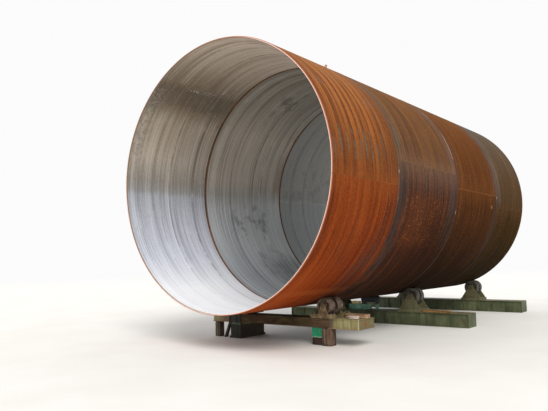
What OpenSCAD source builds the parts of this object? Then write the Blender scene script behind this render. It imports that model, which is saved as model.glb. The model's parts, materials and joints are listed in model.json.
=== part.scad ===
// Distillation column shell section, lying on turning rolls for welding.
// The axis of the shell runs along Y and the near open end is at -Y.
// The origin is on the floor, under the middle of the shell.

/* [Shell] */
// Outside diameter of the shell
shell_d = 5600; // [5200:10:6000]
// Thickness of the carbon steel plate
plate_t = 26; // [20:1:40]
// Thickness of the stainless lining on the inside of the plate
lining_t = 3; // [2:0.5:6]
// Length of the first course, at the near end
course_1_l = 2560; // [2550:10:3000]
// Length of the second course
course_2_l = 3215; // [2800:10:3600]
// Length of the third course
course_3_l = 3015; // [2600:10:3400]
// Length of the fourth course, at the far end
course_4_l = 2610; // [2400:10:3000]
// Width of the weld bevel on the two open ends
end_bevel = 14; // [6:1:18]

/* [Longitudinal seams] */
// Angle of the seams of the first course, from the top towards +X
course_1_seam = 95; // [80:1:100]
// Angle of the seams of the second course
course_2_seam = 84; // [80:1:100]
// Angle of the seams of the third course
course_3_seam = 91; // [80:1:100]
// Angle of the seams of the fourth course
course_4_seam = 98; // [80:1:100]

/* [Welds] */
// Gap between two plates that the weld fills
weld_gap = 8; // [4:1:14]
// Width of the cap of a girth weld
cap_w = 34; // [24:1:50]
// Height of the cap of a girth weld above the plate
cap_h = 3; // [1:0.5:5]
// Lining kept back from each edge of a course
lining_back = 36; // [30:1:90]
// Width of the overlay strip that covers a longitudinal seam inside
overlay_w = 60; // [30:1:90]
// Height of the overlay strip above the lining
overlay_h = 1.5; // [1:0.5:4]

/* [Turning rolls] */
// Distance of the middle turning roll from the near end
mid_y = 6520; // [6250:10:6900]
// Distance of the far turning roll from the near end
far_y = 11120; // [10600:10:11120]
// Length of the base frame, across the shell
frame_l = 5500; // [5300:10:6000]
// Width of the base frame, along the shell
frame_w = 560; // [560:10:640]
// Height of the base frame
frame_h = 350; // [300:10:420]
// Thickness of the plates of the base frame
frame_t = 14; // [10:1:20]
// Number of bays between the cross plates of the base frame
frame_bays = 6; // [5:1:8]
// Diameter of the wheels of the turning rolls
roll_d = 440; // [380:10:480]
// Distance of each wheel axle from the middle of the base frame
roll_x = 1160; // [1100:10:1300]
// Height of the axles above the base frame
roll_axle_h = 404; // [380:1:460]
// Width of one wheel of the turning rolls
roll_w = 150; // [100:5:150]
// Gap between the two wheels of a turning roll
roll_gap = 120; // [60:5:120]
// Diameter of the axles of the turning rolls
roll_axle_d = 90; // [70:5:110]
// Thickness of the bearing plates that carry an axle
bracket_t = 24; // [16:1:24]

/* [Near stand] */
// Distance of the near rollers from the near end
near_y = 2280; // [2150:10:2290]
// Diameter of the near wheels
near_d = 360; // [320:10:400]
// Distance of each near axle from the middle
near_x = 1200; // [1150:10:1260]
// Width of one near wheel
near_w = 180; // [150:5:180]
// Gap between the two near wheels
near_gap = 130; // [90:5:130]
// Diameter of the near axles
near_axle_d = 70; // [60:5:80]
// Height of the near axles above the packing boxes
near_axle_h = 244; // [240:1:280]
// Length of the right packing box, across the shell
right_box_l = 740; // [700:10:800]
// Length of the left packing box, across the shell
left_box_l = 520; // [460:10:560]
// Width of a packing box, along the shell
box_w = 660; // [650:10:700]
// Height of a packing box and of the cross beam
box_h = 205; // [160:5:220]
// Depth of the cross beam, along the shell
beam_w = 420; // [360:10:480]

/* [Packing] */
// Side of the square timber under the right end of the beam
timber_w = 220; // [160:10:230]
// Side of the square timber under the left packing box
post_w = 160; // [120:10:180]
// Width of the stacked block under the left end of the beam
stack_w = 340; // [300:10:380]
// Length of the stacked block, along the shell
stack_l = 920; // [640:10:960]
// Width of the green block under the right end of the beam
block_w = 260; // [200:10:280]
// Height of the dark timber under the green block
block_base_h = 160; // [100:5:200]
// Thickness of the timber that lies on the right packing box
board_t = 90; // [50:5:110]

/* [Hidden] */

// Clearances
touch = 0.3;            // between a wheel and the shell
axle_clear = 0.3;       // around an axle in its bearing
side_clear = 8;         // between a wheel and the plate beside it
over = 20;              // how far a cutting solid runs past the cut

// Shell
shell_r = shell_d / 2;
bore_r = shell_r - plate_t;
lining_r = bore_r - lining_t;
courses = [course_1_l, course_2_l, course_3_l, course_4_l];
seams = [course_1_seam, course_2_seam, course_3_seam, course_4_seam];
function edge(n) = n == 0 ? 0 : edge(n - 1) + courses[n - 1];
shell_l = edge(4);
near_end = -shell_l / 2;

// Heights: the turning rolls set the height of the shell's axis
function rise(wheel_d, x) = sqrt(pow(shell_r + wheel_d / 2 + touch, 2) - x * x);
roll_z = frame_h + roll_axle_h;
axis_z = roll_z + rise(roll_d, roll_x);
near_z = axis_z - rise(near_d, near_x);
box_z = near_z - near_axle_h;
packing_h = box_z - box_h;

// Wheels and axles
rim_t = 45;             // radial thickness of a rim
web_t = 60;             // thickness of the web between hub and rim
tread_edge = 8;         // chamfer of the tread
dish_slope = 10;        // chamfer where the web meets the rim
groove_w = 16;
groove_d = 10;
hub_r = 0.95;           // radius of a hub as a share of the axle's diameter
sleeve_d = 1.5;         // diameter of the sleeve between two wheels, as such a share
collar_d = 1.3;         // diameter of the outer collars, as such a share
collar_play = 3;        // between a collar and its bearing
axle_end = 10;          // how far an axle shows outside its bearing
roll_span = 2 * roll_w + roll_gap;
near_span = 2 * near_w + near_gap;

// Near bearings: two rails on a bottom plate, each with a ribbed pedestal
rail_w = 70;
rail_h = 84;
rail_in = 300;          // from the axle to the inner end of the rails
rail_out = 330;         // from the axle to the outer end of the rails
rail_plate_t = 14;
pedestal_t = 40;
pedestal_foot = 105;    // half of the width of its foot
pedestal_cap = 58;      // radius of its round top
near_rib_t = 14;
near_rib_l = 28;        // how far a rib stands out
near_rib_x = [-78, -27, 27, 78];
near_rib_drop = [105, 50, 50, 105];
near_axle_l = near_span + 2 * (side_clear + pedestal_t + axle_end);

// Places of the packing across the shell
box_in = 150;           // from the near axle to the inner end of the right box
joint_gap = 0.5;        // between two packing pieces in line
box_lip = 12;           // plates above and below a packing box
beam_chamfer = 12;
beam_back = 30;         // from the front of the boxes to the front of the beam
beam_end = near_x + box_in - joint_gap;
top_block_x = -1430;    // left side of the stack
stack_lip = 20;         // plates round the blocks of the stack
stack_band = 50;        // thickness of those plates
packing_front = near_end + near_y - box_w / 2;
timber_x = near_x - 10; // left side of the timber under the right end of the beam
block_x = timber_x - 20 - block_w;
block_back = 50;        // from the front of the boxes to the front of the green block
block_l = 340;          // length of the green block, along the shell
board_back = 20;        // from the rails to the timber that lies on the right box
board_w = 150;
board_l = right_box_l + box_in - rail_out - board_back;
short_board = [240, 90, 0.75 * board_t];
short_board_at = [180, -180, 0];
post_back = 60;         // from the front of the boxes to the post and the strut
post_x = top_block_x - left_box_l + 10;
strut_x = top_block_x - 210;
strut_t = 45;
strut_lean = 150;
strut_w = 80;

// Turning roll brackets
sole_t = 70;
bracket_foot = 315;     // half of the width of a bearing plate at its foot
bracket_top = 90;       // radius of its round top
sole_edge = 15;         // sole plate outside the feet
boss_t = 14;            // outer boss on a bearing plate
boss_r = 76;
roll_rib_t = 16;
roll_rib_l = 34;        // how far a gusset stands out
roll_rib_h = 180;
roll_rib_x = 160;       // from the axle to a gusset
roll_rib_foot = 20;     // height of a gusset's outer edge
roll_rib_tip = 5;       // width of a gusset at its top
roll_axle_l = roll_span + 2 * (side_clear + bracket_t + boss_t + axle_end);

// Base frames
frame_lip = 36;         // top plate outside the webs
frame_foot = 60;        // width of the bottom flanges
stiffener_back = 9;     // from the edge of a flange to the stiffeners

// Plank on the middle base frame
plank = [780, 120, 60];
plank_back = 30;        // from the front of the base frame

// Drive unit of the middle turning roll
drive_back = 30;        // from the left bracket
bed = [600, 260, 140];
bed_lip = 20;
guard = [240, 120, 80];
guard_x = 60;
motor_d = 160;
motor_l = 560;
motor_x = 380;
motor_z = 290;
leg_w = 120;
front_leg_l = 120;
back_leg_l = 60;

// Colours
rust = [0.60, 0.27, 0.12];
scale_brown = [0.38, 0.24, 0.18];
clad_grey = [0.62, 0.61, 0.58];
weld_grey = [0.45, 0.40, 0.37];
roll_green = [0.26, 0.33, 0.22];
box_green = [0.60, 0.60, 0.36];
block_green = [0.16, 0.52, 0.36];
old_timber = [0.36, 0.29, 0.22];
pale_timber = [0.72, 0.62, 0.46];
wheel_steel = [0.38, 0.34, 0.31];

// Moves to a distance from the near end on the shell's axis, and lays Z along the shell
module on_axis(y = 0) {
    translate([0, near_end + y, axis_z]) rotate([-90, 0, 0]) children();
}

// One side of the cut through both longitudinal seams of a course
module half_space(seam, side, length) {
    rotate([0, 0, seam - 90])
        translate([-shell_r - over, side > 0 ? weld_gap / 2 : -shell_r - over, -over])
            cube([2 * (shell_r + over), shell_r + over - weld_gap / 2, length + 2 * over]);
}

// The thin slab that a weld or an overlay strip fills at both longitudinal seams
module seam_slab(seam, width, length) {
    rotate([0, 0, seam - 90])
        translate([-shell_r - over, -width / 2, -over])
            cube([2 * (shell_r + over), width, length + 2 * over]);
}

// A straight pipe along Z
module tube(outer, inner, length) {
    difference() {
        cylinder(r = outer, h = length, $fn = 180);
        translate([0, 0, -over]) cylinder(r = inner, h = length + 2 * over, $fn = 180);
    }
}

// Where the steel of a course starts and ends: a girth weld fills half a gap beside it
function steel_start(n) = edge(n) + (n == 0 ? 0 : weld_gap / 2);
function steel_end(n) = edge(n + 1) - (n == 3 ? 0 : weld_gap / 2);

// The outside bevel for the weld to the next section
module end_cut(y, inward) {
    land = plate_t - end_bevel;
    translate([0, 0, y]) mirror([0, 0, inward > 0 ? 0 : 1]) difference() {
        translate([0, 0, -over]) cylinder(r = shell_r + over, h = over + end_bevel, $fn = 180);
        translate([0, 0, -over])
            cylinder(r1 = bore_r + land - over, r2 = shell_r, h = over + end_bevel, $fn = 180);
    }
}

// The steel plate of a course above or below its longitudinal seams
module course_plate(n, side) {
    y0 = steel_start(n);
    length = steel_end(n) - y0;
    on_axis() difference() {
        translate([0, 0, y0]) intersection() {
            tube(shell_r, bore_r, length);
            half_space(seams[n], side, length);
        }
        if (n == 0) end_cut(0, 1);
        if (n == 3) end_cut(shell_l, -1);
    }
}

// The two longitudinal welds of a course
module course_seams(n) {
    y0 = steel_start(n);
    length = steel_end(n) - y0;
    on_axis() difference() {
        translate([0, 0, y0]) intersection() {
            tube(shell_r, bore_r, length);
            seam_slab(seams[n], weld_gap, length);
        }
        if (n == 0) end_cut(0, 1);
        if (n == 3) end_cut(shell_l, -1);
    }
}

// The stainless lining of a course, with strips over the longitudinal seams
module course_lining(n) {
    y0 = edge(n) + lining_back;
    length = courses[n] - 2 * lining_back;
    on_axis(y0) {
        tube(bore_r, lining_r, length);
        intersection() {
            tube(lining_r + lining_t / 2, lining_r - overlay_h, length);
            seam_slab(seams[n], overlay_w, length);
        }
    }
}

// A girth weld fills the gap between two courses and stands proud on both sides
module girth_weld(n) {
    gap = weld_gap / 2;
    cap = cap_w / 2;
    toe = cap - cap_h;
    on_axis(edge(n)) rotate_extrude($fn = 180) polygon([
        [bore_r, -gap], [bore_r, -toe], [bore_r - cap_h / 2, -toe + cap_h],
        [bore_r - cap_h / 2, toe - cap_h], [bore_r, toe], [bore_r, gap],
        [shell_r, gap], [shell_r, cap], [shell_r + cap_h, toe],
        [shell_r + cap_h, -toe], [shell_r, -cap], [shell_r, -gap]
    ]);
}

// Two wheels on one axle, turned as one piece
module wheel_pair(wheel_d, width, gap, axle_d, axle_l, x, y, z, grooves) {
    collar_l = side_clear - collar_play;
    translate([x, near_end + y, z]) rotate([-90, 0, 0]) {
        cylinder(d = axle_d, h = axle_l, center = true, $fn = 64);
        cylinder(d = axle_d * sleeve_d, h = gap + 2, center = true, $fn = 64);
        cylinder(d = axle_d * collar_d, h = gap + 2 * width + 2 * collar_l, center = true, $fn = 64);
        translate([0, 0, -gap / 2 - width]) wheel(wheel_d / 2, width, axle_d * hub_r, grooves);
        translate([0, 0, gap / 2]) wheel(wheel_d / 2, width, axle_d * hub_r, grooves);
    }
}

// One wheel: a rim, a dished web and a hub, with grooves round the tread
module wheel(r, width, hub, grooves) {
    inner = r - rim_t;
    dish = (width - web_t) / 2;
    pitch = width / (grooves + 1);
    rotate_extrude($fn = 96) difference() {
        polygon([
            [0, 0], [hub, 0], [hub, dish], [inner - dish_slope, dish], [inner, dish - dish_slope],
            [inner, 0], [r - tread_edge, 0], [r, tread_edge], [r, width - tread_edge],
            [r - tread_edge, width], [inner, width], [inner, width - dish + dish_slope],
            [inner - dish_slope, width - dish], [hub, width - dish], [hub, width], [0, width]
        ]);
        for (k = [1 : grooves])
            translate([r - groove_d, k * pitch - groove_w / 2]) square([groove_d + 1, groove_w]);
    }
}

// The rails and the two ribbed pedestals of a near axle
module near_bearings(side) {
    inside = near_span / 2 + side_clear;
    outside = inside + rail_w;
    rail_l = rail_in + rail_out;
    mirror([side > 0 ? 0 : 1, 0, 0]) translate([near_x, near_end + near_y, box_z]) {
        translate([-rail_in, -outside, 0]) cube([rail_l, 2 * outside, rail_plate_t]);
        for (end = [0, 1]) mirror([0, end, 0]) {
            translate([-rail_in, inside, 0]) cube([rail_l, rail_w, rail_h]);
            translate([0, inside, 0]) near_pedestal();
        }
    }
}

// One bearing plate of a near axle, on its ribbed foot
module near_pedestal() {
    foot_h = rail_h + near_rib_t;
    difference() {
        union() {
            translate([0, pedestal_t, 0]) rotate([90, 0, 0]) linear_extrude(height = pedestal_t) {
                polygon([
                    [-pedestal_foot, rail_h - 1], [pedestal_foot, rail_h - 1],
                    [pedestal_foot, foot_h], [pedestal_cap, near_axle_h],
                    [-pedestal_cap, near_axle_h], [-pedestal_foot, foot_h]
                ]);
                translate([0, near_axle_h]) circle(r = pedestal_cap, $fn = 64);
            }
            for (k = [0 : 3])
                translate([near_rib_x[k] - near_rib_t / 2, pedestal_t - 1, rail_h - 1])
                    cube([near_rib_t, near_rib_l + 1, near_axle_h - near_rib_drop[k] - rail_h]);
            translate([-pedestal_foot, 0, rail_h - 1])
                cube([2 * pedestal_foot, pedestal_t + near_rib_l, near_rib_t + 1]);
        }
        translate([0, -1, near_axle_h]) rotate([-90, 0, 0])
            cylinder(d = near_axle_d + 2 * axle_clear, h = pedestal_t + 2, $fn = 64);
    }
}

// A packing box with a lip of plate above and below
module packing_box(x, length) {
    translate([x, packing_front, packing_h]) {
        cube([length, box_w, box_lip]);
        translate([box_lip, box_lip, 0]) cube([length - 2 * box_lip, box_w - 2 * box_lip, box_h]);
        translate([0, 0, box_h - box_lip]) cube([length, box_w, box_lip]);
    }
}

// A bearing bracket of a turning roll: two gusseted plates on a sole
module roll_bracket(side, y) {
    inside = roll_span / 2 + side_clear;
    depth = 2 * (inside + bracket_t + roll_rib_l);
    half = bracket_foot + sole_edge;
    translate([side * roll_x, near_end + y, frame_h]) {
        translate([-half, -depth / 2, 0]) cube([2 * half, depth, sole_t]);
        for (end = [0, 1]) mirror([0, end, 0]) translate([0, inside, 0]) roll_bearing_plate();
    }
}

// One bearing plate of a turning roll, with its boss and gussets
module roll_bearing_plate() {
    difference() {
        union() {
            translate([0, bracket_t, 0]) rotate([90, 0, 0]) linear_extrude(height = bracket_t) {
                polygon([
                    [-bracket_foot, sole_t - 1], [bracket_foot, sole_t - 1],
                    [bracket_top, roll_axle_h], [-bracket_top, roll_axle_h]
                ]);
                translate([0, roll_axle_h]) circle(r = bracket_top, $fn = 64);
            }
            translate([0, bracket_t - 1, roll_axle_h]) rotate([-90, 0, 0])
                cylinder(r = boss_r, h = boss_t + 1, $fn = 64);
            for (x = [-roll_rib_x, roll_rib_x]) translate([x, bracket_t, sole_t]) roll_rib();
        }
        translate([0, -1, roll_axle_h]) rotate([-90, 0, 0])
            cylinder(d = roll_axle_d + 2 * axle_clear, h = bracket_t + boss_t + 2, $fn = 64);
    }
}

// A triangular gusset on the outer face of a bearing plate
module roll_rib() {
    rotate([90, 0, 90]) linear_extrude(height = roll_rib_t, center = true) polygon([
        [-1, -1], [roll_rib_l, -1], [roll_rib_l, roll_rib_foot],
        [roll_rib_tip, roll_rib_h], [-1, roll_rib_h]
    ]);
}

// The base frame of a turning roll: webs with stiffeners between flanges, open below
module base_frame(y) {
    bay = (frame_l - frame_t) / frame_bays;
    web = frame_lip + frame_t;
    translate([-frame_l / 2, near_end + y - frame_w / 2, 0]) difference() {
        union() {
            translate([0, frame_lip, 0]) cube([frame_l, frame_w - 2 * frame_lip, frame_h]);
            translate([0, 0, frame_h - frame_t]) cube([frame_l, frame_w, frame_t]);
            cube([frame_l, frame_w, frame_t]);
            for (k = [0 : 2 * frame_bays])
                translate([k * bay / 2, stiffener_back, 0])
                    cube([frame_t, frame_w - 2 * stiffener_back, frame_h]);
        }
        for (k = [0 : frame_bays - 1]) {
            translate([k * bay + frame_t, web, frame_t])
                cube([bay - frame_t, frame_w - 2 * web, frame_h - 2 * frame_t]);
            translate([k * bay + frame_t, frame_foot, -1])
                cube([bay - frame_t, frame_w - 2 * frame_foot, 2 * frame_t]);
        }
    }
}

// The low gear housing with its guard, and the motor that stands out of it
module drive_unit() {
    x0 = bracket_foot + sole_edge - roll_x + drive_back;
    translate([x0, near_end + mid_y - bed[1] / 2, frame_h]) {
        cube(bed);
        translate([-bed_lip, -bed_lip, 0]) cube([bed[0] + 2 * bed_lip, bed[1] + 2 * bed_lip, bed_lip]);
        translate([guard_x, (bed[1] - guard[1]) / 2, bed[2] - 1]) cube(guard);
        translate([motor_x, bed[1] / 2, motor_z]) rotate([0, 90, 0])
            cylinder(d = motor_d, h = motor_l, $fn = 48);
        translate([motor_x, (bed[1] - leg_w) / 2, bed[2] - 1]) cube([front_leg_l, leg_w, motor_z - bed[2]]);
        translate([motor_x + motor_l - 2 * back_leg_l, (bed[1] - leg_w) / 2, 0])
            cube([back_leg_l, leg_w, motor_z]);
    }
}

// Near wheels and their bearings
module near_wheels(side) {
    wheel_pair(near_d, near_w, near_gap, near_axle_d, near_axle_l, side * near_x, near_y, near_z, 3);
}
module near_right_wheels() { color(wheel_steel) near_wheels(1); }
module near_left_wheels() { color(wheel_steel) near_wheels(-1); }
module near_right_bearings() { color(weld_grey) near_bearings(1); }
module near_left_bearings() { color(weld_grey) near_bearings(-1); }

// The beam across the stand, between the stack and the right packing box
module near_cross_beam() {
    x0 = top_block_x + stack_w + joint_gap;
    color(old_timber) translate([x0, packing_front + beam_back, packing_h]) rotate([90, 0, 90])
        linear_extrude(height = beam_end - x0) polygon([
            [beam_chamfer, 0], [beam_w - beam_chamfer, 0], [beam_w, beam_chamfer],
            [beam_w, box_h - beam_chamfer], [beam_w - beam_chamfer, box_h],
            [beam_chamfer, box_h], [0, box_h - beam_chamfer], [0, beam_chamfer]
        ]);
}

// The packing boxes at the two ends of the beam
module near_right_box() { color(box_green) packing_box(near_x + box_in, right_box_l); }
module near_left_box() {
    color(box_green) packing_box(top_block_x - joint_gap - left_box_l, left_box_l);
}

// A timber and a short block that lie on the right packing box
module near_right_boards() {
    color(pale_timber) translate([near_x + rail_out + board_back, near_end + near_y, box_z]) {
        cube([board_l, board_w, board_t]);
        translate(short_board_at) cube(short_board);
    }
}

// The timber and the green block that carry the right end of the beam
module near_right_timber() {
    color(old_timber) translate([timber_x, packing_front, 0]) cube([timber_w, timber_w, packing_h]);
}
module near_right_block() {
    color(block_green) translate([block_x, packing_front + block_back, block_base_h])
        cube([block_w, block_l, packing_h - block_base_h]);
}
module near_right_block_base() {
    color(old_timber) translate([block_x, packing_front + block_back, 0])
        cube([block_w, block_l, block_base_h]);
}

// Two dark blocks, one on the other: the upper one stands in line with the beam
module near_left_stack() {
    color(roll_green) translate([top_block_x, packing_front + stack_lip, 0]) {
        cube([stack_w, stack_l, stack_band]);
        translate([stack_lip, stack_lip, 0])
            cube([stack_w - 2 * stack_lip, stack_l - 2 * stack_lip, packing_h]);
        translate([0, 0, packing_h - stack_band]) cube([stack_w, stack_l, stack_band]);
        translate([0, 0, packing_h - 1]) cube([stack_w, box_w - stack_lip, box_h + 1]);
    }
}

// The timber under the left packing box
module near_left_post() {
    color(old_timber) translate([post_x, packing_front + post_back, 0]) cube([post_w, post_w, packing_h]);
}

// A strut that leans against the stack
module near_left_wedge() {
    color(old_timber) translate([strut_x, packing_front + post_back + strut_w, 0]) rotate([90, 0, 0])
        linear_extrude(height = strut_w) polygon([
            [0, 0], [strut_t, 0], [strut_t + strut_lean, packing_h], [strut_lean, packing_h]
        ]);
}

// Turning rolls: wheels, brackets, base frames, the plank and the drive
module roll_wheels(side, y) {
    wheel_pair(roll_d, roll_w, roll_gap, roll_axle_d, roll_axle_l, side * roll_x, y, roll_z, 1);
}
module mid_right_wheels() { color(wheel_steel) roll_wheels(1, mid_y); }
module mid_left_wheels() { color(wheel_steel) roll_wheels(-1, mid_y); }
module mid_right_bracket() { color(roll_green) roll_bracket(1, mid_y); }
module mid_left_bracket() { color(roll_green) roll_bracket(-1, mid_y); }
module mid_base_frame() { color(roll_green) base_frame(mid_y); }
module mid_right_plank() {
    x0 = roll_x + bracket_foot + sole_edge + joint_gap;
    color(pale_timber) translate([x0, near_end + mid_y - frame_w / 2 + plank_back, frame_h]) cube(plank);
}
module mid_drive() { color(block_green) drive_unit(); }
module far_right_wheels() { color(wheel_steel) roll_wheels(1, far_y); }
module far_left_wheels() { color(wheel_steel) roll_wheels(-1, far_y); }
module far_right_bracket() { color(roll_green) roll_bracket(1, far_y); }
module far_left_bracket() { color(roll_green) roll_bracket(-1, far_y); }
module far_base_frame() { color(roll_green) base_frame(far_y); }

// Shell: four courses and the girth welds between them
module course_1_upper_plate() { color(rust) course_plate(0, -1); }
module course_1_lower_plate() { color(rust) course_plate(0, 1); }
module course_1_seams() { color(weld_grey) course_seams(0); }
module course_1_lining() { color(clad_grey) course_lining(0); }
module course_2_upper_plate() { color(scale_brown) course_plate(1, -1); }
module course_2_lower_plate() { color(scale_brown) course_plate(1, 1); }
module course_2_seams() { color(weld_grey) course_seams(1); }
module course_2_lining() { color(clad_grey) course_lining(1); }
module course_3_upper_plate() { color(scale_brown) course_plate(2, -1); }
module course_3_lower_plate() { color(scale_brown) course_plate(2, 1); }
module course_3_seams() { color(weld_grey) course_seams(2); }
module course_3_lining() { color(clad_grey) course_lining(2); }
module course_4_upper_plate() { color(scale_brown) course_plate(3, -1); }
module course_4_lower_plate() { color(scale_brown) course_plate(3, 1); }
module course_4_seams() { color(weld_grey) course_seams(3); }
module course_4_lining() { color(clad_grey) course_lining(3); }
module girth_weld_1() { color(weld_grey) girth_weld(1); }
module girth_weld_2() { color(weld_grey) girth_weld(2); }
module girth_weld_3() { color(weld_grey) girth_weld(3); }

course_1_upper_plate();
course_1_lower_plate();
course_1_seams();
course_1_lining();
course_2_upper_plate();
course_2_lower_plate();
course_2_seams();
course_2_lining();
course_3_upper_plate();
course_3_lower_plate();
course_3_seams();
course_3_lining();
course_4_upper_plate();
course_4_lower_plate();
course_4_seams();
course_4_lining();
girth_weld_1();
girth_weld_2();
girth_weld_3();
near_right_wheels();
near_left_wheels();
near_right_bearings();
near_left_bearings();
near_cross_beam();
near_right_box();
near_left_box();
near_right_boards();
near_right_timber();
near_right_block();
near_right_block_base();
near_left_stack();
near_left_post();
near_left_wedge();
mid_right_wheels();
mid_left_wheels();
mid_right_bracket();
mid_left_bracket();
mid_base_frame();
mid_right_plank();
mid_drive();
far_right_wheels();
far_left_wheels();
far_right_bracket();
far_left_bracket();
far_base_frame();
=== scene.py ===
# Looks of a distillation column shell section that lies on turning rolls
import json
import math

import bmesh
import bpy
from mathutils import Matrix, Vector, noise


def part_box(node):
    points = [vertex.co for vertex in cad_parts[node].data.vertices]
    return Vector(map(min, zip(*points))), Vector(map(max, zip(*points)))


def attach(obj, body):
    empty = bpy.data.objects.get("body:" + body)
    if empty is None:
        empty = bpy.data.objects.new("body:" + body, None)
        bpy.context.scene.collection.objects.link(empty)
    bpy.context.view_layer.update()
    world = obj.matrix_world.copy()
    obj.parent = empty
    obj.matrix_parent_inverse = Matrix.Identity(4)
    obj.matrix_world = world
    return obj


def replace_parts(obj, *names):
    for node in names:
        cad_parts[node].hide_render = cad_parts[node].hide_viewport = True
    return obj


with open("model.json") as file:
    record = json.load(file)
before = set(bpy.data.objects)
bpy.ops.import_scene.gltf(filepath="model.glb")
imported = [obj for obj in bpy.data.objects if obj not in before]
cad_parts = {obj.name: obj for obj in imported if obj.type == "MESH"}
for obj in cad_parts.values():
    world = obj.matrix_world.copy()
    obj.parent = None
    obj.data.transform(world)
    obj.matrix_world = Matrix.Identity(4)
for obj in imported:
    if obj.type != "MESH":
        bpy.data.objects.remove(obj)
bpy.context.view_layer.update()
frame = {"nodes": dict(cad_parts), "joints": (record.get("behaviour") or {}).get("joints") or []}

# Places taken from the frame, in metres
JOINTS = {joint["name"]: joint for joint in frame["joints"]}
AXIS_Z = JOINTS["shell_turn"]["pos_m"][2]
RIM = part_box("course_1_upper_plate")[0].y
SHELL_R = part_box("course_3_upper_plate")[1].z - AXIS_Z
SEAM_Y = [sum(corner.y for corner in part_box("girth_weld_%d" % n)) / 2 for n in (1, 2, 3)]
STARTS = dict(zip((1, 2, 3, 4), [0.0] + [y - RIM for y in SEAM_Y]))

# Sizes of the bearings and wheels that the frame's boxes don't give
NEAR_SIDE_CLEAR, NEAR_PEDESTAL = 0.008, 0.040
ROLL_PLATE, ROLL_BOSS, ROLL_SOLE = 0.024, 0.014, 0.070
RAIL_W, RAIL_TOP, FOOT_T = 0.070, 0.084, 0.014
AXLE_END, WEB_T = 0.010, 0.060
WHEEL_W = {"near": 0.180, "mid": 0.150, "far": 0.150}
BOLT_RING_R = {"near": 0.10, "mid": 0.13, "far": 0.13}
UP = (0, 0, 1)

# Camera, fitted to the rim, the girth seams and the silhouettes in the photograph
CAMERA_PLACE = (8.255, RIM - 8.692, 1.870)
CAMERA_TURN = math.radians(37.843)
CAMERA_PITCH = math.radians(4.956)
CAMERA_ROLL = -0.020
CAMERA_LENS, CAMERA_SENSOR, CAMERA_SIGHT = 39.27, 36.0, 500.0

# The background's white, and the even light from all round, as linear colours
BACKGROUND = (0.97, 0.97, 0.97, 1.0)
AMBIENT_COLOUR, AMBIENT = (0.95, 0.97, 1.0, 1.0), 0.77


def srgb(red, green, blue):
    """A colour written as it looks, 0 to 255, as the linear colour that nodes take."""
    def linear(value):
        share = value / 255
        return share / 12.92 if share <= 0.04045 else ((share + 0.055) / 1.055) ** 2.4
    return (linear(red), linear(green), linear(blue), 1.0)


def seam_angle(course):
    """The angle of the right-hand long seam of a course, in degrees from the top."""
    low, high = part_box("course_%d_upper_plate" % course)
    past_side = math.degrees(math.asin((AXIS_Z - low.z) / SHELL_R))
    return 90 + past_side if high.x > -low.x else 90 - past_side


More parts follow.
